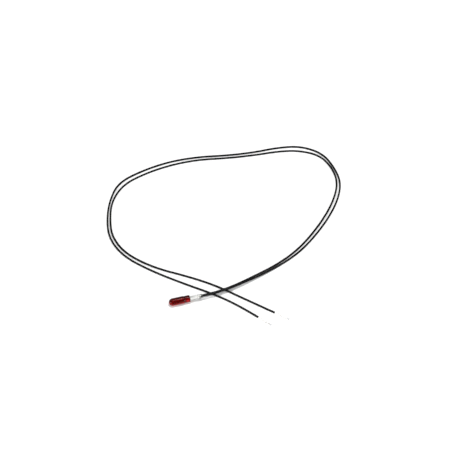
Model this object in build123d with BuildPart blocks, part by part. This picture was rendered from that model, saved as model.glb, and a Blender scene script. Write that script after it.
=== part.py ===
from build123d import *
import math
import os

# Miniature wire-lead lamp, lying along X on a flat surface at z = 0, its dome towards -X.
# Everything is in millimetres. The origin is under the middle of the glass and its sleeves.

# The lamp lies rolled a little about its own axis, with lead a the higher one
roll_deg = -35

# Glass envelope
glass_d = 3.18  # body of the blown tube
glass_len = 8.85  # tip of the dome to the flat base
glass_wall = 0.3
neck_len = 2.1  # sealed zone, from the shoulder groove to the base
neck_d = 2.95
neck_wall = 0.28
groove_d = 2.8  # narrowest place, where the tube was drawn in at the seal
groove_before = 0.55  # run-out of the groove towards the dome
groove_after = 0.4  # run-out of the groove towards the base
rim_round = 0.2

# Bonded places, such as glass on glass and solder on wire, are drawn with this gap
bond_gap = 0.01

# Glass bead that closes the neck
bead_len = 2.0
bead_crown = 0.2  # rise of its inner face

# Filament and the wires that carry it
filament_from_tip = 2.7  # tip of the dome to the axis of the coil
coil_d = 0.26  # through the middle of the wire
coil_wire_d = 0.05
coil_pitch = 0.14
coil_turns = 8
coil_facets = 6  # sides of the wire's section
lead_in_d = 0.25
hook_spacing = 1.0  # between the two hooks, along the coil
hook_gap = 0.02  # coil to the inside of the hook
hook_shank = 0.7  # straight run behind the coil
hook_return = 0.25  # straight end of the folded-back tip
lead_in_bend_r = 1.2

# Insulating sleeves behind the base
sleeve_d = 1.4
sleeve_bore = 0.9
sleeve_len = 5.5
sleeve_pair_gap = 0.06
sleeve_base_gap = 0.02

# Solder joints inside the sleeves
joint_from_base = 0.9
joint_len = 1.5
joint_d = 0.66
joint_nose_d = 0.48
joint_taper = 0.4  # length of each tapered end
joint_round = 0.3  # where the tapers run into the middle
joint_seat = 0.5  # how far each wire enters the joint

# Leads: insulated wire, its bare conductor at both ends, and the tinned tips
lead_d = 0.8
strand_d = 0.13
core_d = 3 * strand_d  # seven strands, six round one
lead_start_from_base = 4.4
tail_len = 6.6
tip_len = 1.0
tip_d = 0.54
tip_collar_d = 0.46  # where the coat of solder begins
tip_seat = 0.6  # how far the tail enters the coat

# Places that follow from the sizes
lamp_z = glass_d / 2
dome_x = -(glass_len + sleeve_len) / 2
base_x = dome_x + glass_len
sleeve_end_x = base_x + sleeve_len
neck_x = base_x - neck_len
filament_x = dome_x + filament_from_tip
wire_off = (sleeve_d + sleeve_pair_gap) / 2  # lamp's axis to the axis of either wire
hook_off = hook_spacing / 2
across_y = math.cos(math.radians(roll_deg))  # direction from wire a to wire b
across_z = math.sin(math.radians(roll_deg))
hook_r = coil_d / 2 + coil_wire_d / 2 + hook_gap + lead_in_d / 2
bead_r = neck_d / 2 - neck_wall - bond_gap
joint_x = base_x + joint_from_base
lead_start_x = base_x + lead_start_from_base
floor_z = lead_d / 2

sides = {"a": -1, "b": 1}


def rolled(x, off=0.0, up=0.0):
    """Point at x along the lamp, off beside its axis and up above it, turned with the roll."""
    return (x, off * across_y - up * across_z, lamp_z + off * across_z + up * across_y)


# Routes of the two leads. Both leave their sleeves along +X, pass over the free ends in a low
# hump, make one loose loop on the surface and end beyond the sleeves. Lead b stays inside lead a.
lead_routes = {
    "a": [
        rolled(lead_start_x, -wire_off),
        rolled(9.4, -wire_off),
        (14.0, -0.29, 1.95),
        (21.2, 0.98, 1.75),
        (32.0, 4.3, 0.85),
        (42.4, 7.9, floor_z),
        (53.5, 13.1, floor_z),
        (63.4, 20.7, floor_z),
        (72.8, 29.7, floor_z),
        (80.4, 39.2, floor_z),
        (85.3, 49.1, floor_z),
        (85.7, 59.2, floor_z),
        (83.7, 69.7, floor_z),
        (75.6, 77.1, floor_z),
        (64.9, 79.1, floor_z),
        (53.6, 79.1, floor_z),
        (41.0, 80.7, floor_z),
        (28.9, 83.3, floor_z),
        (15.6, 84.0, floor_z),
        (2.1, 81.6, floor_z),
        (-10.0, 77.0, floor_z),
        (-16.4, 66.7, floor_z),
        (-20.1, 55.9, floor_z),
        (-21.9, 44.6, floor_z),
        (-18.7, 32.4, floor_z),
        (-9.0, 20.3, floor_z),
        (1.7, 9.9, floor_z),
        (11.8, 0.9, floor_z),
        (20.2, -8.3, floor_z),
        (26.0, -16.8, floor_z),
    ],
    "b": [
        rolled(lead_start_x, wire_off),
        rolled(9.4, wire_off),
        (14.0, 0.59, 1.45),
        (21.2, 1.85, 1.4),
        (31.6, 5.3, 0.85),
        (42.0, 9.0, floor_z),
        (52.6, 14.3, floor_z),
        (62.3, 21.9, floor_z),
        (71.7, 31.1, floor_z),
        (79.0, 40.3, floor_z),
        (83.9, 49.6, floor_z),
        (84.7, 59.0, floor_z),
        (82.2, 68.6, floor_z),
        (74.1, 74.4, floor_z),
        (64.7, 76.6, floor_z),
        (53.6, 77.2, floor_z),
        (40.7, 78.9, floor_z),
        (28.5, 81.5, floor_z),
        (16.1, 81.7, floor_z),
        (3.6, 79.6, floor_z),
        (-8.1, 75.3, floor_z),
        (-15.5, 66.2, floor_z),
        (-18.8, 55.8, floor_z),
        (-20.5, 44.8, floor_z),
        (-17.1, 33.1, floor_z),
        (-7.4, 21.8, floor_z),
        (4.2, 13.5, floor_z),
        (14.2, 5.1, floor_z),
        (23.5, -5.5, floor_z),
        (33.2, -16.3, floor_z),
    ],
}
arc_share = 0.45  # of the shorter run beside a corner, taken up by its arc


def cross_plane(x, off=0.0):
    """Plane across the lamp at x, centred on the lamp's axis or off beside it."""
    return Plane(origin=rolled(x, off), x_dir=(0, across_y, across_z), z_dir=(1, 0, 0))


def profile_plane(off=0.0):
    """Upright plane along the lamp for turned profiles: x along the lamp, y as the radius."""
    return Plane(origin=rolled(0, off), x_dir=(1, 0, 0), z_dir=(0, -1, 0))


def turning_axis(off=0.0):
    return Axis(rolled(0, off), (1, 0, 0))


def corner_radii(points):
    """Radius of the arc at each inner point of a route."""
    radii = []
    for before, here, after in zip(points, points[1:], points[2:]):
        run_in = Vector(*here) - Vector(*before)
        run_out = Vector(*after) - Vector(*here)
        half_turn = math.radians(run_in.get_angle(run_out)) / 2
        radii.append(arc_share * min(run_in.length, run_out.length) / math.tan(half_turn))
    return radii


def finish(part, label):
    part.label = label
    export_step(part, f"parts/{label}.step")


os.makedirs("parts", exist_ok=True)

# Glass envelope: one blown tube, closed by its dome, drawn in at the seal and open at the base
with BuildPart() as glass_envelope:
    with BuildSketch(profile_plane()):
        with BuildLine():
            body_r = glass_d / 2
            cavity_r = body_r - glass_wall
            bore_r = bead_r + bond_gap
            dome = JernArc((dome_x, 0), (0, 1), body_r, -90)
            groove_start = (neck_x - groove_before, body_r)
            neck_start = (neck_x + groove_after, neck_d / 2)
            Line(dome @ 1, groove_start)
            Spline(groove_start, (neck_x, groove_d / 2), neck_start, tangents=[(1, 0), (1, 0)])
            Line(neck_start, (base_x - rim_round, neck_d / 2))
            rim = JernArc((base_x - rim_round, neck_d / 2), (1, 0), rim_round, -90)
            bore_start = (neck_x + groove_after, bore_r)
            cavity_end = (neck_x - groove_before, cavity_r)
            Polyline(rim @ 1, (base_x, bore_r), bore_start)
            Spline(bore_start, cavity_end, tangents=[(-1, 0), (-1, 0)])
            inner_dome_end = (dome_x + body_r, cavity_r)
            Line(cavity_end, inner_dome_end)
            inner_dome = JernArc(inner_dome_end, (-1, 0), cavity_r, 90)
            Line(inner_dome @ 1, (dome_x, 0))
        make_face()
    revolve(axis=turning_axis())
finish(glass_envelope.part, "glass_envelope")

# Glass bead: fills the neck, crowned inside, with the two lead-in wires sealed through it
with BuildPart() as stem_bead:
    with BuildSketch(profile_plane()):
        with BuildLine():
            face_x = base_x - bead_len
            crown = ThreePointArc(
                (face_x, bead_r), (face_x - bead_crown * 0.75, bead_r / 2), (face_x - bead_crown, 0)
            )
            Polyline(crown @ 1, (base_x, 0), (base_x, bead_r), (face_x, bead_r))
        make_face()
    revolve(axis=turning_axis())
    with BuildSketch(cross_plane(base_x)):
        with GridLocations(2 * wire_off, 1, 2, 1):
            Circle(lead_in_d / 2 + bond_gap)
    extrude(amount=-(bead_len + bead_crown), mode=Mode.SUBTRACT)
finish(stem_bead.part, "stem_bead")

# Filament: a coil of tungsten wire that lies across the lamp, its end turns in the hooks
with BuildPart() as filament:
    coil_len = coil_turns * coil_pitch
    with BuildLine():
        coil = Helix(
            pitch=coil_pitch,
            height=coil_len,
            radius=coil_d / 2,
            center=rolled(filament_x, -coil_len / 2),
            direction=(0, across_y, across_z),
        )
    with BuildSketch(Plane(origin=coil @ 0, z_dir=coil % 0)):
        RegularPolygon(coil_wire_d / 2, coil_facets)
    sweep(path=coil, is_frenet=True)
finish(filament.part, "filament")

# Everything below comes in pairs, one for each side of the lamp
for side, sign in sides.items():
    off = sign * wire_off

    # Lead-in wire: straight through the bead, drawn in towards the coil and folded round it
    with BuildPart() as lead_in_wire:
        with BuildLine() as lead_in_path:
            shank = sign * hook_off
            under_coil = rolled(filament_x, shank, -hook_r)
            over_coil = rolled(filament_x, shank, hook_r)
            FilletPolyline(
                rolled(joint_x + joint_seat, off),
                rolled(base_x - bead_len - bead_crown - lead_in_d, off),
                rolled(filament_x + hook_shank, shank, -hook_r),
                under_coil,
                radius=lead_in_bend_r,
            )
            ThreePointArc(under_coil, rolled(filament_x - hook_r, shank), over_coil)
            Line(over_coil, rolled(filament_x + hook_return, shank, hook_r))
        with BuildSketch(cross_plane(joint_x + joint_seat, off)):
            Circle(lead_in_d / 2)
        sweep(path=lead_in_path.line)
    finish(lead_in_wire.part, f"lead_in_wire_{side}")

    # Solder joint: a spindle of solder with a seat for the lead-in wire and one for the conductor
    with BuildPart() as solder_joint:
        joint_end_x = joint_x + joint_len
        with BuildSketch(profile_plane(off)):
            with BuildLine():
                outline = FilletPolyline(
                    (joint_x, joint_nose_d / 2),
                    (joint_x + joint_taper, joint_d / 2),
                    (joint_end_x - joint_taper, joint_d / 2),
                    (joint_end_x, joint_nose_d / 2),
                    radius=joint_round,
                )
                Polyline(outline @ 1, (joint_end_x, 0), (joint_x, 0), outline @ 0)
            make_face()
        revolve(axis=turning_axis(off))
        with BuildSketch(cross_plane(joint_x, off)):
            Circle(lead_in_d / 2 + bond_gap)
        extrude(amount=joint_seat, mode=Mode.SUBTRACT)
        with BuildSketch(cross_plane(joint_end_x, off)):
            Circle(core_d / 2 + bond_gap)
        extrude(amount=-joint_seat, mode=Mode.SUBTRACT)
    finish(solder_joint.part, f"solder_joint_{side}")

    # Bare end of the conductor inside the sleeve, from the solder joint to the insulation
    with BuildPart() as lead_core:
        core_start_x = joint_end_x - joint_seat
        with BuildSketch(cross_plane(core_start_x, off)):
            Circle(core_d / 2)
        extrude(amount=lead_start_x - core_start_x)
    finish(lead_core.part, f"lead_core_{side}")

    # Insulating sleeve: a plain length of tube that butts against the base of the lamp
    with BuildPart() as insulating_sleeve:
        sleeve_start_x = base_x + sleeve_base_gap
        with BuildSketch(cross_plane(sleeve_start_x, off)):
            Circle(sleeve_d / 2)
            Circle(sleeve_bore / 2, mode=Mode.SUBTRACT)
        extrude(amount=sleeve_end_x - sleeve_start_x)
    finish(insulating_sleeve.part, f"insulating_sleeve_{side}")

    # Insulated lead, from inside the sleeve to the end of its insulation
    with BuildPart() as insulated_lead:
        route = lead_routes[side]
        radii = corner_radii(route)
        with BuildLine():
            lead_path = FilletPolyline(*route, radius=radii)
        with BuildSketch(cross_plane(lead_start_x, off)):
            Circle(lead_d / 2)
        sweep(path=lead_path)
    finish(insulated_lead.part, f"insulated_lead_{side}")
    print(f"lead_{side} radii", [round(radius, 1) for radius in radii])
    print(f"lead_{side} length", round(lead_path.length, 1))

    # Bare tail: the conductor beyond the insulation, in line with the end of the lead
    end_plane = Plane(origin=lead_path @ 1, z_dir=lead_path % 1)
    with BuildPart() as bare_tail:
        with BuildSketch(end_plane):
            Circle(core_d / 2)
        extrude(amount=tail_len)
    finish(bare_tail.part, f"bare_tail_{side}")

    # Tinned tip: the drop of solder that closes over the end of the tail
    tip_plane = Plane(origin=end_plane.origin, x_dir=end_plane.z_dir, z_dir=(0, 0, 1))
    with BuildPart() as tinned_tip:
        tip_start = tail_len - tip_seat
        tip_end = tip_start + tip_len
        with BuildSketch(tip_plane):
            with BuildLine():
                drop = Polyline(
                    (tip_start, tip_collar_d / 2), (tip_end - tip_d / 2, tip_d / 2)
                )
                nose = JernArc(drop @ 1, (1, 0), tip_d / 2, -90)
                bore_r = core_d / 2 + bond_gap
                Polyline(nose @ 1, (tail_len, 0), (tail_len, bore_r), (tip_start, bore_r), drop @ 0)
            make_face()
        revolve(axis=Axis(end_plane.origin, end_plane.z_dir))
    finish(tinned_tip.part, f"tinned_tip_{side}")
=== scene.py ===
import math

import bpy
import numpy as np
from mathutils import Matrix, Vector


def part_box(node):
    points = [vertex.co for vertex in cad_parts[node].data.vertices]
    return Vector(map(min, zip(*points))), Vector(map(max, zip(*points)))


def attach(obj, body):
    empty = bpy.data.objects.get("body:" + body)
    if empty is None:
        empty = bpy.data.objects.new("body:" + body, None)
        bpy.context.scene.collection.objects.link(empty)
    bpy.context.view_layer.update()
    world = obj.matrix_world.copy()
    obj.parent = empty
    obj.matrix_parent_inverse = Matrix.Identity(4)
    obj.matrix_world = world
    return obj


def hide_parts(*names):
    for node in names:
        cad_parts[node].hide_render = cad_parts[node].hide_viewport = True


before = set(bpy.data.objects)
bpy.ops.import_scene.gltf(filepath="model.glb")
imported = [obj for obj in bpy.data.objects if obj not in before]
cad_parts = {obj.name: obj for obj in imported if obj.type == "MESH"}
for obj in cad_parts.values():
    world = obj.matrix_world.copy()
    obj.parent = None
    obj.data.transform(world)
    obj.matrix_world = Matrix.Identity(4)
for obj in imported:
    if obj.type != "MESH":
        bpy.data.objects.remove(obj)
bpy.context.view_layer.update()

# Looks of the miniature wire-lead lamp: its red lacquered glass, its coil and wires, its two
# sleeves and its two long black leads. Everything is in metres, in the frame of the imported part.

scene = bpy.context.scene
scene.view_settings.view_transform = "Standard"
mm = 0.001

# ---------------------------------------------------------------- camera

look_at = Vector((0.02821, 0.03837, 0.0))
camera_place = Vector((-0.10233, -0.40233, 0.45962))

lens = bpy.data.cameras.new("lens")
lens.lens = 120
lens.sensor_width = 36
lens.clip_start = 0.01
lens.clip_end = 50
camera = bpy.data.objects.new("camera", lens)
camera.location = camera_place
camera.rotation_euler = (look_at - camera_place).to_track_quat("-Z", "Y").to_euler()
scene.collection.objects.link(camera)
scene.camera = camera

# ---------------------------------------------------------------- leads

lead_d = 0.0008
lying_z = lead_d / 2

# Both leads leave their sleeves side by side, pass over the free ends in a low hump, make one
# loose loop on the surface and end beyond the sleeves. Lead b stays inside lead a.
lead_routes = {
    "a": [
        (0.006075, -0.000598, 0.002009),
        (0.0094, -0.000598, 0.002009),
        (0.0140, -0.00029, 0.00195),
        (0.0212, 0.00098, 0.00175),
        (0.0320, 0.0043, 0.00085),
        (0.0424, 0.0079, lying_z),
        (0.0535, 0.0131, lying_z),
        (0.0634, 0.0207, lying_z),
        (0.0728, 0.0297, lying_z),
        (0.0804, 0.0392, lying_z),
        (0.0853, 0.0491, lying_z),
        (0.0857, 0.0592, lying_z),
        (0.0837, 0.0697, lying_z),
        (0.0756, 0.0771, lying_z),
        (0.0649, 0.0791, lying_z),
        (0.0536, 0.0791, lying_z),
        (0.0410, 0.0807, lying_z),
        (0.0289, 0.0833, lying_z),
        (0.0156, 0.0840, lying_z),
        (0.0021, 0.0816, lying_z),
        (-0.0100, 0.0770, lying_z),
        (-0.0164, 0.0667, lying_z),
        (-0.0201, 0.0559, lying_z),
        (-0.0219, 0.0446, lying_z),
        (-0.0187, 0.0324, lying_z),
        (-0.0090, 0.0203, lying_z),
        (0.0017, 0.0099, lying_z),
        (0.0118, 0.0009, lying_z),
        (0.0202, -0.0083, lying_z),
        (0.0260, -0.0168, lying_z),
    ],
    "b": [
        (0.006075, 0.000598, 0.001171),
        (0.0094, 0.000598, 0.001171),
        (0.0140, 0.00059, 0.00145),
        (0.0212, 0.00185, 0.0014),
        (0.0316, 0.0053, 0.00085),
        (0.0420, 0.0090, lying_z),
        (0.0526, 0.0143, lying_z),
        (0.0623, 0.0219, lying_z),
        (0.0717, 0.0311, lying_z),
        (0.0790, 0.0403, lying_z),
        (0.0839, 0.0496, lying_z),
        (0.0847, 0.0590, lying_z),
        (0.0822, 0.0686, lying_z),
        (0.0741, 0.0744, lying_z),
        (0.0647, 0.0766, lying_z),
        (0.0536, 0.0772, lying_z),
        (0.0407, 0.0789, lying_z),
        (0.0285, 0.0815, lying_z),
        (0.0161, 0.0817, lying_z),
        (0.0036, 0.0796, lying_z),
        (-0.0081, 0.0753, lying_z),
        (-0.0155, 0.0662, lying_z),
        (-0.0188, 0.0558, lying_z),
        (-0.0205, 0.0448, lying_z),
        (-0.0171, 0.0331, lying_z),
        (-0.0074, 0.0218, lying_z),
        (0.0042, 0.0135, lying_z),
        (0.0142, 0.0051, lying_z),
        (0.0235, -0.0055, lying_z),
        (0.0332, -0.0163, lying_z),
    ],
}


def insulated_lead(side):
    """Round insulated wire on one smooth spline whose control points are the route."""
    route = lead_routes[side]
    wire = bpy.data.curves.new(f"lead_{side}", "CURVE")
    wire.dimensions = "3D"
    spline = wire.splines.new("NURBS")
    spline.points.add(len(route) - 1)
    for point, place in zip(spline.points, route):
        point.co = (*place, 1.0)
    spline.order_u = 3
    spline.use_endpoint_u = True
    wire.resolution_u = 16
    wire.bevel_depth = lead_d / 2
    wire.bevel_resolution = 5
    wire.use_fill_caps = True
    piece = bpy.data.objects.new(f"lead_{side}", wire)
    scene.collection.objects.link(piece)
    return piece


leads = {side: insulated_lead(side) for side in lead_routes}

# ---------------------------------------------------------------- finishes


def new_finish(name, metallic=0.0, ior=1.5, transmission=0.0, specular=0.5):
    """A Principled material with its plain constants set; returns (material, nodes, link, shader)."""
    material = bpy.data.materials.new(name)
    material.use_nodes = True
    tree = material.node_tree
    shader = tree.nodes["Principled BSDF"]
    shader.inputs["Metallic"].default_value = metallic
    shader.inputs["IOR"].default_value = ior
    shader.inputs["Transmission Weight"].default_value = transmission
    shader.inputs["Specular IOR Level"].default_value = specular
    return material, tree.nodes, tree.links.new, shader


def place_of(nodes, link, stretch=(1, 1, 1)):
    """Object coordinates in metres, stretched by a Mapping node; returns its output."""
    coordinates = nodes.new("ShaderNodeTexCoord")
    mapping = nodes.new("ShaderNodeMapping")
    mapping.inputs["Scale"].default_value = stretch
    link(coordinates.outputs["Object"], mapping.inputs["Vector"])
    return mapping.outputs["Vector"]


def noise_of(nodes, link, vector, scale, detail=3.0):
    """Fine uneven pattern, about 1 / scale metres across; returns a value from 0 to 1."""
    noise = nodes.new("ShaderNodeTexNoise")
    noise.inputs["Scale"].default_value = scale
    noise.inputs["Detail"].default_value = detail
    noise.inputs["Roughness"].default_value = 0.55
    link(vector, noise.inputs["Vector"])
    return noise.outputs["Fac"]


def ramp_of(nodes, link, value, stops):
    """Colours or greys laid over a value: stops are (position, colour)."""
    ramp = nodes.new("ShaderNodeValToRGB")
    elements = ramp.color_ramp.elements
    while len(elements) < len(stops):
        elements.new(0.5)
    for element, (position, colour) in zip(elements, stops):
        element.position = position
        element.color = (*colour, 1) if len(colour) == 3 else colour
    link(value, ramp.inputs["Fac"])
    return ramp.outputs["Color"]


def range_of(nodes, link, value, low, high, out_low, out_high):
    """Stretches a value's range from low..high to out_low..out_high, held at both ends."""
    stretch = nodes.new("ShaderNodeMapRange")
    stretch.inputs["From Min"].default_value = low
    stretch.inputs["From Max"].default_value = high
    stretch.inputs["To Min"].default_value = out_low
    stretch.inputs["To Max"].default_value = out_high
    link(value, stretch.inputs["Value"])
    return stretch.outputs["Result"]


def relief(nodes, link, shader, height, depth, strength=1.0):
    """Bump of that depth in metres from a height of 0 to 1."""
    bump = nodes.new("ShaderNodeBump")
    bump.inputs["Distance"].default_value = depth
    bump.inputs["Strength"].default_value = strength
    link(height, bump.inputs["Height"])
    link(bump.outputs["Normal"], shader.inputs["Normal"])


def grey(level):
    return (level, level, level)


def red_lacquered_glass():
    """Clear glass under a dipped layer of red lacquer, which tints the light that goes through.

    The piece's coat attribute is the lacquer's thickness in dips, none on the inside of the glass and
    one or more outside, with painted shade added as extra dips on the top and rear side and, in part,
    at the tip and in the groove; the tint of one crossing is the colour of one dip to the power of
    that thickness, so those places show darker red. The cloud attribute is 1 on the neck, where the
    glass is fused to the bead and lets a little less light straight through.
    """
    one_dip = (0.62, 0.0008, 0.0018, 1)
    finish, nodes, link, shader = new_finish("red_lacquered_glass", transmission=1.0, ior=1.5)
    coat_and_shade = nodes.new("ShaderNodeAttribute")
    coat_and_shade.attribute_name = "coat_and_shade"
    along = place_of(nodes, link, stretch=(0.25, 1, 1))
    streaks = noise_of(nodes, link, along, 2600, detail=4)
    uneven = range_of(nodes, link, streaks, 0.3, 0.7, 0.86, 1.16)
    # Lacquer thickness with painted shade: the coat attribute times fine uneven streaks
    thickness = nodes.new("ShaderNodeMath")
    thickness.operation = "MULTIPLY"
    link(coat_and_shade.outputs["Fac"], thickness.inputs[0])
    link(uneven, thickness.inputs[1])
    shader.inputs["Specular Tint"].default_value = (0.25, 0.25, 0.25, 1)
    tint = nodes.new("ShaderNodeGamma")
    tint.inputs["Color"].default_value = one_dip
    link(thickness.outputs[0], tint.inputs["Gamma"])
    link(tint.outputs["Color"], shader.inputs["Base Color"])
    cloud = nodes.new("ShaderNodeAttribute")
    cloud.attribute_name = "cloud"
    link(range_of(nodes, link, cloud.outputs["Fac"], 0, 1, 1.0, 0.85),
         shader.inputs["Transmission Weight"])
    skin = noise_of(nodes, link, place_of(nodes, link), 5200, detail=2)
    link(range_of(nodes, link, skin, 0.3, 0.7, 0.05, 0.11), shader.inputs["Roughness"])
    relief(nodes, link, shader, streaks, 0.00001, 0.35)
    return finish


def sealing_glass():
    """Milky sealing glass with fine bubbles."""
    finish, nodes, link, shader = new_finish("sealing_glass", transmission=0.55, ior=1.5)
    place = place_of(nodes, link)
    bubbles = nodes.new("ShaderNodeTexVoronoi")
    bubbles.inputs["Scale"].default_value = 5200
    link(place, bubbles.inputs["Vector"])
    cloud = noise_of(nodes, link, place, 1500)
    link(ramp_of(nodes, link, cloud, [(0.3, (0.80, 0.83, 0.79)), (0.7, (0.92, 0.93, 0.90))]),
         shader.inputs["Base Color"])
    link(range_of(nodes, link, bubbles.outputs["Distance"], 0.0, 0.5, 0.2, 0.42),
         shader.inputs["Roughness"])
    relief(nodes, link, shader, bubbles.outputs["Distance"], 0.00001, 0.4)
    return finish


def drawn_tungsten():
    """Dull grey tungsten with the fine marks of the drawing die."""
    finish, nodes, link, shader = new_finish("drawn_tungsten", metallic=1.0)
    marks = noise_of(nodes, link, place_of(nodes, link, stretch=(1, 0.2, 1)), 30000)
    link(ramp_of(nodes, link, marks, [(0.3, (0.20, 0.20, 0.22)), (0.7, (0.40, 0.39, 0.40))]),
         shader.inputs["Base Color"])
    link(range_of(nodes, link, marks, 0.3, 0.7, 0.32, 0.5), shader.inputs["Roughness"])
    relief(nodes, link, shader, marks, 0.000002)
    return finish


def sealing_alloy(x_seal, x_hook):
    """Drawn nickel-iron wire, with a brown heat tint near the seal and at the hooks."""
    finish, nodes, link, shader = new_finish("sealing_alloy", metallic=1.0)
    place = place_of(nodes, link)
    x = nodes.new("ShaderNodeSeparateXYZ")
    link(place, x.inputs["Vector"])
    tinted = ramp_of(nodes, link, range_of(nodes, link, x.outputs["X"], x_hook, x_seal, 0, 1), [
        (0.0, (0.20, 0.17, 0.15)), (0.14, (0.48, 0.44, 0.38)), (0.55, (0.55, 0.51, 0.46)),
        (0.85, (0.34, 0.22, 0.14)), (1.0, (0.42, 0.31, 0.22))])
    scale_marks = noise_of(nodes, link, place_of(nodes, link, stretch=(0.15, 1, 1)), 14000)
    shade = nodes.new("ShaderNodeMix")
    shade.data_type = "RGBA"
    shade.blend_type = "MULTIPLY"
    shade.inputs["Factor"].default_value = 0.5
    link(tinted, shade.inputs["A"])
    link(ramp_of(nodes, link, scale_marks, [(0.3, grey(0.4)), (0.7, grey(1.0))]),
         shade.inputs["B"])
    link(shade.outputs["Result"], shader.inputs["Base Color"])
    link(range_of(nodes, link, scale_marks, 0.3, 0.7, 0.28, 0.45), shader.inputs["Roughness"])
    relief(nodes, link, shader, scale_marks, 0.000004)
    return finish


def soft_solder():
    """Set solder: satin, with a frosty grain and a few amber specks of flux."""
    finish, nodes, link, shader = new_finish("soft_solder", metallic=1.0)
    place = place_of(nodes, link)
    grain = noise_of(nodes, link, place, 9000)
    specks = noise_of(nodes, link, place, 3200, detail=1)
    metal = ramp_of(nodes, link, grain, [(0.3, (0.52, 0.53, 0.55)), (0.7, (0.74, 0.75, 0.76))])
    flux = nodes.new("ShaderNodeMix")
    flux.data_type = "RGBA"
    link(range_of(nodes, link, specks, 0.66, 0.74, 0, 0.7), flux.inputs["Factor"])
    link(metal, flux.inputs["A"])
    flux.inputs["B"].default_value = (0.42, 0.25, 0.09, 1)
    link(flux.outputs["Result"], shader.inputs["Base Color"])
    link(range_of(nodes, link, grain, 0.3, 0.7, 0.24, 0.42), shader.inputs["Roughness"])
    relief(nodes, link, shader, grain, 0.000006)
    return finish


def tinned_copper():
    """Bright tinned wire, with copper showing faintly where the tin is thin."""
    finish, nodes, link, shader = new_finish("tinned_copper", metallic=1.0)
    place = place_of(nodes, link)
    thin = noise_of(nodes, link, place, 4200)
    streaks = noise_of(nodes, link, place, 22000)
    link(ramp_of(nodes, link, thin, [(0.28, (0.76, 0.66, 0.58)), (0.40, (0.82, 0.80, 0.77)),
                                     (0.75, (0.88, 0.87, 0.86))]), shader.inputs["Base Color"])
    link(range_of(nodes, link, streaks, 0.3, 0.7, 0.2, 0.34), shader.inputs["Roughness"])
    relief(nodes, link, shader, streaks, 0.000002)
    return finish


def translucent_tubing():
    """Milky white extruded tubing, clearer where the lead fills the bore and lies on its wall."""
    milky_x, clear_x = 4.6 * mm, 6.1 * mm
    finish, nodes, link, shader = new_finish("translucent_tubing", ior=1.25, specular=0.2)
    shader.inputs["Subsurface Weight"].default_value = 1.0
    shader.inputs["Subsurface Radius"].default_value = (1, 1, 1)
    shader.inputs["Subsurface Scale"].default_value = 0.0006
    x = nodes.new("ShaderNodeSeparateXYZ")
    link(place_of(nodes, link), x.inputs["Vector"])
    link(range_of(nodes, link, x.outputs["X"], milky_x, clear_x, 0.5, 0.99),
         shader.inputs["Transmission Weight"])
    along = place_of(nodes, link, stretch=(0.12, 1, 1))
    draw_lines = noise_of(nodes, link, along, 7000)
    cloud = noise_of(nodes, link, place_of(nodes, link), 900, detail=2)
    link(ramp_of(nodes, link, cloud, [(0.3, (0.78, 0.79, 0.76)), (0.7, (0.83, 0.83, 0.81))]),
         shader.inputs["Base Color"])
    haze = nodes.new("ShaderNodeMath")
    haze.operation = "MULTIPLY"
    link(range_of(nodes, link, draw_lines, 0.3, 0.7, 0.34, 0.46), haze.inputs[0])
    link(range_of(nodes, link, x.outputs["X"], milky_x, clear_x, 1.0, 0.32), haze.inputs[1])
    link(haze.outputs[0], shader.inputs["Roughness"])
    relief(nodes, link, shader, draw_lines, 0.000004)
    return finish


def black_insulation():
    """Smooth black flexible insulation: satin, with faint draw marks and a trace of dust."""
    finish, nodes, link, shader = new_finish("black_insulation", ior=1.46, specular=0.09)
    place = place_of(nodes, link)
    mottle = noise_of(nodes, link, place, 1600, detail=4)
    fine = noise_of(nodes, link, place, 11000, detail=2)
    link(ramp_of(nodes, link, mottle, [(0.30, (0.0022, 0.0022, 0.0026)),
                                       (0.62, (0.0045, 0.0045, 0.0050)),
                                       (0.80, (0.0120, 0.0118, 0.0115))]),
         shader.inputs["Base Color"])
    link(range_of(nodes, link, mottle, 0.3, 0.7, 0.34, 0.48), shader.inputs["Roughness"])
    relief(nodes, link, shader, fine, 0.000006)
    return finish


glass_low, glass_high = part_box("glass_envelope")
dome_x, base_x = glass_low.x, glass_high.x
lamp_z = (glass_low.z + glass_high.z) / 2
wire_low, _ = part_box("lead_in_wire_a")
sleeve_low, sleeve_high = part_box("insulating_sleeve_a")
# The lamp lies rolled about its axis: wire a sits in front and higher, wire b behind and lower
wire_a = np.array([0, (sleeve_low.y + sleeve_high.y) / 2, (sleeve_low.z + sleeve_high.z) / 2 - lamp_z])
wire_off = np.linalg.norm(wire_a)
across = -wire_a / wire_off
upward = np.cross((1, 0, 0), across)
on_axis = np.array([0, 0, lamp_z])
coil_low, coil_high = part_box("filament")
bead_low, bead_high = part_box("stem_bead")
joint_low, joint_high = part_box("solder_joint_a")

finishes = {
    "red_glass": red_lacquered_glass(),
    "bead_glass": sealing_glass(),
    "tungsten": drawn_tungsten(),
    "lead_in_alloy": sealing_alloy(bead_low.x, wire_low.x),
    "solder": soft_solder(),
    "tinned_copper": tinned_copper(),
    "sleeve_plastic": translucent_tubing(),
    "black_insulation": black_insulation(),
}

# ---------------------------------------------------------------- surfaces


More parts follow.
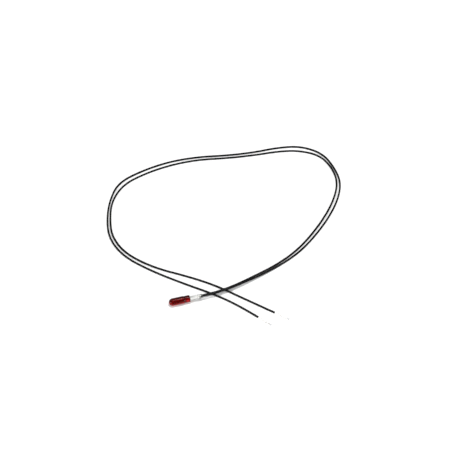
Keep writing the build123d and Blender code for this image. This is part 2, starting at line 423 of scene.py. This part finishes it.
def add_piece(name, rings, slot, closed_rings=False):
    """One mesh from bodies laid out as an array (bodies, rings, points round each ring, 3).

    Each ring closes on itself. Neighbouring rings are joined by four-sided faces. Where
    closed_rings is true the last ring joins the first; otherwise the two end rings are closed
    by a fan on their own middle.
    """
    bodies, rows, columns, _ = rings.shape
    number = np.arange(bodies * rows * columns).reshape(bodies, rows, columns)
    here = number if closed_rings else number[:, :-1]
    after = np.roll(number, -1, axis=1) if closed_rings else number[:, 1:]
    beside = np.roll(here, -1, axis=2)
    after_beside = np.roll(after, -1, axis=2)
    quads = np.stack([here, beside, after_beside, after], axis=-1).reshape(-1, 4)
    points = rings.reshape(-1, 3)
    faces = quads.tolist()
    if not closed_rings:
        middles = np.stack([rings[:, 0].mean(axis=1), rings[:, -1].mean(axis=1)], axis=1)
        middle_number = bodies * rows * columns + np.arange(bodies * 2).reshape(bodies, 2)
        points = np.concatenate([points, middles.reshape(-1, 3)])
        first, last = number[:, 0], number[:, -1]
        start_middle = np.broadcast_to(middle_number[:, :1], first.shape)
        end_middle = np.broadcast_to(middle_number[:, 1:], last.shape)
        start_fan = np.stack([np.roll(first, -1, axis=1), first, start_middle], axis=-1)
        end_fan = np.stack([last, np.roll(last, -1, axis=1), end_middle], axis=-1)
        faces += start_fan.reshape(-1, 3).tolist() + end_fan.reshape(-1, 3).tolist()
    mesh = bpy.data.meshes.new(name)
    mesh.from_pydata(points.tolist(), [], faces)
    mesh.polygons.foreach_set("use_smooth", np.full(len(faces), True))
    mesh.update()
    piece = bpy.data.objects.new(name, mesh)
    scene.collection.objects.link(piece)
    mesh.materials.append(finishes[slot])
    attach(piece, "root")
    return piece


def angles(count):
    """That many angles, evenly spaced round a circle."""
    return np.linspace(0, 2 * np.pi, count, endpoint=False)


def turned(x, radius, around, off=0.0):
    """Rings of a turned body along X: at station i, radius[i] (or radius[i, j]) round the lamp's
    axis, or round the line off beside it. Angle 0 points sideways and a quarter turn points up."""
    radius = np.broadcast_to(np.reshape(radius, (len(x), -1)), (len(x), around))
    turn = angles(around)
    rings = np.empty((1, len(x), around, 3))
    rings[0, ..., 0] = np.reshape(x, (-1, 1))
    rings[0, ..., 1] = radius * np.cos(turn)
    rings[0, ..., 2] = radius * np.sin(turn)
    return rings + on_axis + off * across


def eased(start, end, share):
    """Goes from start to end as half a cosine wave, level at both ends."""
    return start + (end - start) * (1 - np.cos(np.pi * share)) / 2


# ---------------------------------------------------------------- glass envelope

glass_r = (glass_high.z - glass_low.z) / 2
glass_wall = 0.30 * mm
neck_x = base_x - 2.1 * mm
neck_r = 1.475 * mm
neck_bore_r = 1.195 * mm
groove_r = 1.40 * mm
groove_before, groove_after = 0.55 * mm, 0.40 * mm
rim_round = 0.20 * mm

# Thickness of the lacquer in dips beyond the first one, and how far each heavier place reaches. The
# dips on the top and rear side are painted shade; those at the tip and in the groove are partly pooled
# lacquer and partly painted shade.
painted_shade_dips, tip_drop_and_shade_dips, groove_pool_and_shade_dips = 7.5, 1.6, 0.9
neck_thinning = 0.3
painted_shade_turn = 1.05
tip_reach, groove_reach = 0.6 * mm, 0.22 * mm
neck_step, neck_blur = 0.2 * mm, 0.04 * mm


def glass_envelope():
    """Blown envelope as one closed skin, outside and inside.

    Outside, from the tip: a quarter circle for the dome, a straight body, half a cosine wave in to the
    groove and half a wave out to the neck, a straight neck, a quarter circle at the rim and the flat
    base. Inside, back to the tip: the straight bore, half a wave out to the hollow, a straight wall
    and the quarter circle of the inner dome. The coat attribute is the lacquer's thickness with
    painted shade added: one dip outside; more by the cosine of the turn away from the top and rear
    side, which is painted shade darkening that side; more by a bell curve at the tip and in the
    groove, partly lacquer pooled there and partly painted shade; thinner on the neck; nothing inside.
    """
    dome_turn = np.linspace(0.02, np.pi / 2, 26)
    share = np.linspace(0, 1, 12)
    tip_x, inner_r = dome_x + glass_r, glass_r - glass_wall
    straight = np.linspace(tip_x, neck_x - groove_before, 16)[1:-1]
    neck = np.linspace(neck_x + groove_after, base_x - rim_round, 8)[1:-1]
    rim_turn = np.linspace(0, np.pi / 2, 8)
    outside_x = np.concatenate([
        tip_x - glass_r * np.cos(dome_turn), straight,
        neck_x - groove_before * (1 - share[:-1]), neck_x + groove_after * share,
        neck, base_x - rim_round + rim_round * np.sin(rim_turn)])
    outside_r = np.concatenate([
        glass_r * np.sin(dome_turn), np.full(straight.size, glass_r),
        eased(glass_r, groove_r, share[:-1]), eased(groove_r, neck_r, share),
        np.full(neck.size, neck_r), neck_r - rim_round * (1 - np.cos(rim_turn))])
    inside_x = np.concatenate([
        [base_x, neck_x + groove_after],
        neck_x + groove_after - (groove_after + groove_before) * share[1:],
        straight[::-1], tip_x - inner_r * np.cos(dome_turn[::-1])])
    inside_r = np.concatenate([
        [neck_bore_r, neck_bore_r], eased(neck_bore_r, inner_r, share[1:]),
        np.full(straight.size, inner_r), inner_r * np.sin(dome_turn[::-1])])
    x = np.concatenate([outside_x, inside_x])
    radius = np.concatenate([outside_r, inside_r])
    around = 96
    piece = add_piece("glass_envelope_red", turned(x, radius, around), "red_glass")
    # Painted shade: extra dips, by the cosine of the turn, darken the top and rear side of the glass
    painted_shade_side = np.clip(np.cos(angles(around) - painted_shade_turn), 0, 1)
    # Extra dips at the tip and in the groove: partly lacquer pooled there, partly painted shade
    # darkening the tip's rim and the groove
    tip_drop_and_shade = np.exp(-((outside_x - dome_x) / tip_reach) ** 2)
    in_groove = np.exp(-((outside_x - neck_x) / groove_reach) ** 2)
    on_neck = 1 / (1 + np.exp(-(outside_x - neck_x - neck_step) / neck_blur))
    coat_and_shade = (1 + painted_shade_dips * painted_shade_side) * (1 - neck_thinning * on_neck)[:, None]
    coat_and_shade += (tip_drop_and_shade_dips * tip_drop_and_shade + groove_pool_and_shade_dips * in_groove)[:, None]
    cloud = np.repeat(on_neck[:, None], around, axis=1)
    for attribute, outside, at_tip in (("coat_and_shade", coat_and_shade, 1.0), ("cloud", cloud, 0.0)):
        values = np.zeros((x.size, around))
        values[: outside_x.size] = outside
        values = np.concatenate([values.ravel(), [at_tip, 0.0]])
        piece.data.attributes.new(attribute, "FLOAT", "POINT").data.foreach_set("value", values)
    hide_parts("glass_envelope")


glass_envelope()

# ---------------------------------------------------------------- bead, coil, joints

lead_in_d = 0.25 * mm


def stem_bead():
    """Sealing bead, a turned plug with a crowned face inside.

    Its inner face stands off the flat by the crown, which falls off with the square of the
    distance from the axis, and climbs each of the two wires in a small fillet of glass, which
    falls off with distance from the wire's skin. Its outer face dips round them the same way.
    """
    around, rows = 72, 18
    bead_r = (bead_high.z - bead_low.z) / 2
    crown, bond_gap = 0.2 * mm, 0.01 * mm
    inner_climb, inner_reach = 0.16 * mm, 0.07 * mm
    outer_climb, outer_reach = 0.08 * mm, 0.10 * mm
    face_x = bead_low.x + crown
    share = np.linspace(0.03, 1, rows)[:, None]
    turn = angles(around)[None, :]
    u, v = bead_r * share * np.cos(turn), bead_r * share * np.sin(turn)
    off_wire = np.minimum(np.hypot(u - wire_off, v), np.hypot(u + wire_off, v)) - lead_in_d / 2
    off_wire = np.clip(off_wire, 0, None)
    inside_rim = 1 - share**8
    face = face_x - crown * (1 - share**2) - inner_climb * np.exp(-off_wire / inner_reach) * inside_rim
    back = base_x - bond_gap - outer_climb * np.exp(-off_wire / outer_reach) * inside_rim
    x = np.concatenate([face, back[::-1]])[..., None] * np.array([1, 0, 0])
    u, v = (np.concatenate([part, part[::-1]])[..., None] for part in (u, v))
    rings = x + on_axis + u * across + v * upward
    piece = add_piece("sealing_bead", rings[None], "bead_glass")
    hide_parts("stem_bead")


def filament_coil():
    """Single coil of fine wire across the lamp. The wire's middle runs round a circle while it moves
    along, a pitch for each turn; its skin is a circle of the wire's radius square to that line,
    drawn in to a small end at both cut ends."""
    wire_r, coil_r, pitch, turns = 0.025 * mm, 0.13 * mm, 0.14 * mm, 8
    cut_end, widening = 0.55, 4
    along_lamp = np.array([1, 0, 0])
    x, around, steps = (coil_low.x + coil_high.x) / 2, 14, turns * 40
    turn = np.linspace(0, 2 * np.pi * turns, steps + 1)[:, None]
    skin = angles(around)[None, :]
    turn_3 = turn[..., None]
    out = np.sin(turn_3) * along_lamp + np.cos(turn_3) * upward
    rise = pitch / (2 * np.pi)
    ahead = coil_r * (np.cos(turn_3) * along_lamp - np.sin(turn_3) * upward) + rise * across
    ahead /= np.linalg.norm(ahead, axis=-1, keepdims=True)
    side = np.cross(ahead, out)
    middle = coil_r * out + (rise * turn_3 - pitch * turns / 2) * across + on_axis
    middle[..., 0] += x
    ends = np.minimum(1, cut_end + np.minimum(turn, turn[::-1]) * widening)[..., None]
    rings = middle + wire_r * ends * (np.cos(skin)[..., None] * out + np.sin(skin)[..., None] * side)
    piece = add_piece("filament_coil", rings[None], "tungsten")
    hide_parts("filament")


def solder_joint(side, sign):
    """Spindle of solder over the joint between lead-in wire and conductor: tapered at both
    ends, with shallow lumps that are the sum of two waves along and round it."""
    around, rows = 40, 44
    end_r, belly_r, taper = 0.20 * mm, 0.315 * mm, 0.27
    lump, small_lump = 0.012 * mm, 0.006 * mm
    start, end = joint_low.x, joint_high.x
    share = np.linspace(0, 1, rows)[:, None]
    turn = angles(around)[None, :]
    belly = np.clip(np.minimum(share, 1 - share) / taper, 0, 1)
    radius = eased(end_r, belly_r, belly)
    radius = radius + lump * np.sin(9 * share + 2 * turn + sign) * belly
    radius = radius + small_lump * np.sin(21 * share - 3 * turn) * belly
    rings = turned(start + (end - start) * share[:, 0], radius, around, off=sign * wire_off)
    piece = add_piece(f"soldered_joint_{side}", rings, "solder")
    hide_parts(f"solder_joint_{side}")


stem_bead()
filament_coil()

# ---------------------------------------------------------------- conductor

strand_d = 0.13 * mm
lay_length = 4.2 * mm
tail_len = 6.6 * mm


def beside_and_above(ahead):
    """Two directions square to ahead and to each other: level to its left, and above it."""
    beside = np.cross((0, 0, 1), ahead)
    return beside, np.cross(ahead, beside)


def strands(name, start, ahead, length, strand_rows=70):
    """Seven round strands as one mesh, six wound round a straight one.

    Strand k's middle is the axis point plus one strand's thickness at angle
    2 pi (distance / lay + k / 6); its skin is a circle of half a strand's thickness round that
    middle, square to the strand's own direction. The seventh lies on the axis.
    """
    start, ahead = np.array(start), np.array(ahead) / np.linalg.norm(ahead)
    beside, above = beside_and_above(ahead)
    around = 14
    distance = np.linspace(0, length, strand_rows)[None, :, None, None]
    twist = 2 * np.pi / lay_length
    wound = np.array([1, 1, 1, 1, 1, 1, 0])[:, None, None, None]
    turn = twist * distance + 2 * np.pi * np.arange(7)[:, None, None, None] / 6
    out = np.cos(turn) * beside + np.sin(turn) * above
    travel = ahead + wound * strand_d * twist * (np.cos(turn) * above - np.sin(turn) * beside)
    travel = travel / np.linalg.norm(travel, axis=-1, keepdims=True)
    side = np.cross(travel, out)
    skin = angles(around)[None, None, :, None]
    middle = start + distance * ahead + wound * strand_d * out
    rings = middle + strand_d / 2 * (np.cos(skin) * out + np.sin(skin) * side)
    return add_piece(name, rings, "tinned_copper")


def tinned_tip(side, tail_end, ahead, turn_there):
    """Drop of solder over the end of the strands. From a thin edge its radius rises to the
    collar, swells slowly to the nose and closes as a quarter circle. Six ridges, of the strands
    below, wind on with them and fade out towards the nose. A low wave round it makes it uneven."""
    length, seat, edge_len = 1.0 * mm, 0.6 * mm, 0.06 * mm
    edge_r, collar_r, nose_r = 0.165 * mm, 0.225 * mm, 0.262 * mm
    ridge, ridge_fade, unevenness = 0.07, 0.75, 0.03
    around, edge_rows, rows, nose_rows = 60, 6, 26, 16
    ahead = np.array(ahead) / np.linalg.norm(ahead)
    beside, above = beside_and_above(ahead)
    edge = np.linspace(0, 1, edge_rows)
    body = np.linspace(0, 1, rows)[1:]
    nose_turn = np.linspace(0, np.pi / 2 - 0.04, nose_rows)[1:]
    body_len = length - edge_len - nose_r
    distance = np.concatenate([edge_len * edge, edge_len + body_len * body,
                               length - nose_r + nose_r * np.sin(nose_turn)])
    radius = np.concatenate([eased(edge_r, collar_r, edge), eased(collar_r, nose_r, body),
                             nose_r * np.cos(nose_turn)])
    fade = np.clip(1 - distance / (ridge_fade * length), 0, 1)[:, None] ** 1.5
    turn = angles(around)[None, :]
    wind = 2 * np.pi / lay_length * (distance[:, None] - seat) + turn_there
    ridged = radius[:, None] * (1 - ridge * fade * (1 - np.cos(6 * (turn - wind))) / 2)
    run = radius[:, None] * (unevenness * np.sin(turn * 2 + 5 * distance[:, None] / mm))
    ridged = ridged + run * np.cos(0.5 * np.pi * distance[:, None] / length)
    start = np.array(tail_end) - seat * ahead
    rings = (start + distance[:, None, None] * ahead
             + ridged[..., None] * (np.cos(turn)[..., None] * beside
                                    + np.sin(turn)[..., None] * above))
    piece = add_piece(f"tin_drop_{side}", rings[None], "solder")
    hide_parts(f"tinned_tip_{side}")
    return piece


# ---------------------------------------------------------------- sleeves


def sleeve(side, sign):
    """Cut length of tube as one closed skin: bore, end, outside, end. The corners of the cut
    ends are quarter circles, and each end leans a little, as a hand cut does, by a share of the
    cosine of the turn round it."""
    outer_r, bore_r, corner = (sleeve_high.z - sleeve_low.z) / 2, 0.45 * mm, 0.035 * mm
    lean, around, rows = 0.03 * mm, 72, 28
    low, high = sleeve_low.x + lean, sleeve_high.x - lean
    turn = np.linspace(0, np.pi / 2, 6)
    round_in, round_out = corner * (1 - np.cos(turn)), corner * (1 - np.sin(turn))
    straight = np.linspace(low + corner, high - corner, rows + 2)[1:-1]
    x = np.concatenate([low + round_out[::-1], straight, high - round_in[::-1],
                        high - round_in, straight[::-1], low + round_out])
    outward = np.concatenate([outer_r - round_in[::-1], np.full(rows, outer_r),
                              outer_r - round_out[::-1], bore_r + round_out,
                              np.full(rows, bore_r), bore_r + round_in])
    rings = turned(x, outward, around, off=sign * wire_off)
    share = ((x - low) / (high - low))[:, None]
    tilt = np.cos(angles(around) + 0.7 * sign)
    rings[0, ..., 0] += lean * (share * tilt + (1 - share) * np.cos(angles(around) - 0.9))
    piece = add_piece(f"sleeve_{side}", rings, "sleeve_plastic", closed_rings=True)
    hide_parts(f"insulating_sleeve_{side}")


for side, sign in (("a", -1), ("b", 1)):
    solder_joint(side, sign)
    sleeve(side, sign)
    core_low, core_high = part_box(f"lead_core_{side}")
    on_wire = on_axis + sign * wire_off * across
    core = strands(f"core_strands_{side}", on_wire + (core_low.x, 0, 0), (1, 0, 0),
                   core_high.x - core_low.x, strand_rows=40)
    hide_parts(f"lead_core_{side}")

    lead, route = leads[side], lead_routes[side]
    lead.data.materials.append(finishes["black_insulation"])
    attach(lead, "root")
    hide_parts(f"insulated_lead_{side}")

    lead_end = np.array(route[-1])
    ahead = lead_end - np.array(route[-2])
    ahead = ahead / np.linalg.norm(ahead)
    tail = strands(f"tail_strands_{side}", lead_end, ahead, tail_len)
    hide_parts(f"bare_tail_{side}")
    tip = tinned_tip(side, lead_end + tail_len * ahead, ahead, 2 * np.pi * tail_len / lay_length)

    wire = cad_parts[f"lead_in_wire_{side}"]
    wire.material_slots[0].material = finishes["lead_in_alloy"]

# ---------------------------------------------------------------- surroundings


def pale_floor():
    """Plain pale surface just under the lamp."""
    half, below = 3.0, -0.02 * mm
    mesh = bpy.data.meshes.new("floor")
    mesh.from_pydata([(-half, -half, below), (half, -half, below), (half, half, below),
                      (-half, half, below)], [], [(0, 1, 2, 3)])
    floor = bpy.data.objects.new("floor", mesh)
    scene.collection.objects.link(floor)
    finish, nodes, link, shader = new_finish("pale_floor", specular=0.1)
    mottle = noise_of(nodes, link, place_of(nodes, link), 300)
    link(ramp_of(nodes, link, mottle, [(0.3, grey(0.895)), (0.7, grey(0.905))]),
         shader.inputs["Base Color"])
    shader.inputs["Roughness"].default_value = 0.9
    mesh.materials.append(finish)


def soft_box(name, place, aim, width, depth, watts):
    """Rectangular soft light at place, turned to face aim."""
    data = bpy.data.lights.new(name, "AREA")
    data.shape = "RECTANGLE"
    data.size, data.size_y = width, depth
    data.energy = watts
    light = bpy.data.objects.new(name, data)
    light.location = place
    light.rotation_euler = (Vector(aim) - Vector(place)).to_track_quat("-Z", "Y").to_euler()
    scene.collection.objects.link(light)
    return light


pale_floor()

room = bpy.data.worlds.new("room")
room.use_nodes = True
room.node_tree.nodes["Background"].inputs["Color"].default_value = (1, 1, 1, 1)
room.node_tree.nodes["Background"].inputs["Strength"].default_value = 0.22
scene.world = room

sight = look_at - camera_place
to_right = Vector((sight.y, -sight.x, 0)).normalized()
to_back = Vector((sight.x, sight.y, 0)).normalized()
up = Vector((0, 0, 1))

# Two lights hang level over the lamp: a wide weak one, and a narrow one that streaks the glass
hung, squared_up = 1.0, (0, 0, math.atan2(to_right.y, to_right.x))
for name, right, back, width, depth, watts in (("overhead_soft_box", -0.15, 0, 1.3, 0.55, 2.5),
                                               ("strip_light", 0.12, 0.06, 0.10, 0.36, 6.5)):
    foot = look_at + to_right * right + to_back * back
    soft_box(name, foot + up * hung, foot, width, depth, watts).rotation_euler = squared_up

# Two more stand low in front of it, on the left and on the right
stand_off, stand_height, stand_size = 1.25, 0.4, 0.8
for name, degrees, watts in (("left_soft_box", -50, 12), ("right_soft_box", 60, 13)):
    aside = math.radians(degrees)
    place = look_at + stand_off * (to_right * math.sin(aside) - to_back * math.cos(aside))
    soft_box(name, place + up * stand_height, look_at, stand_size, stand_size, watts)
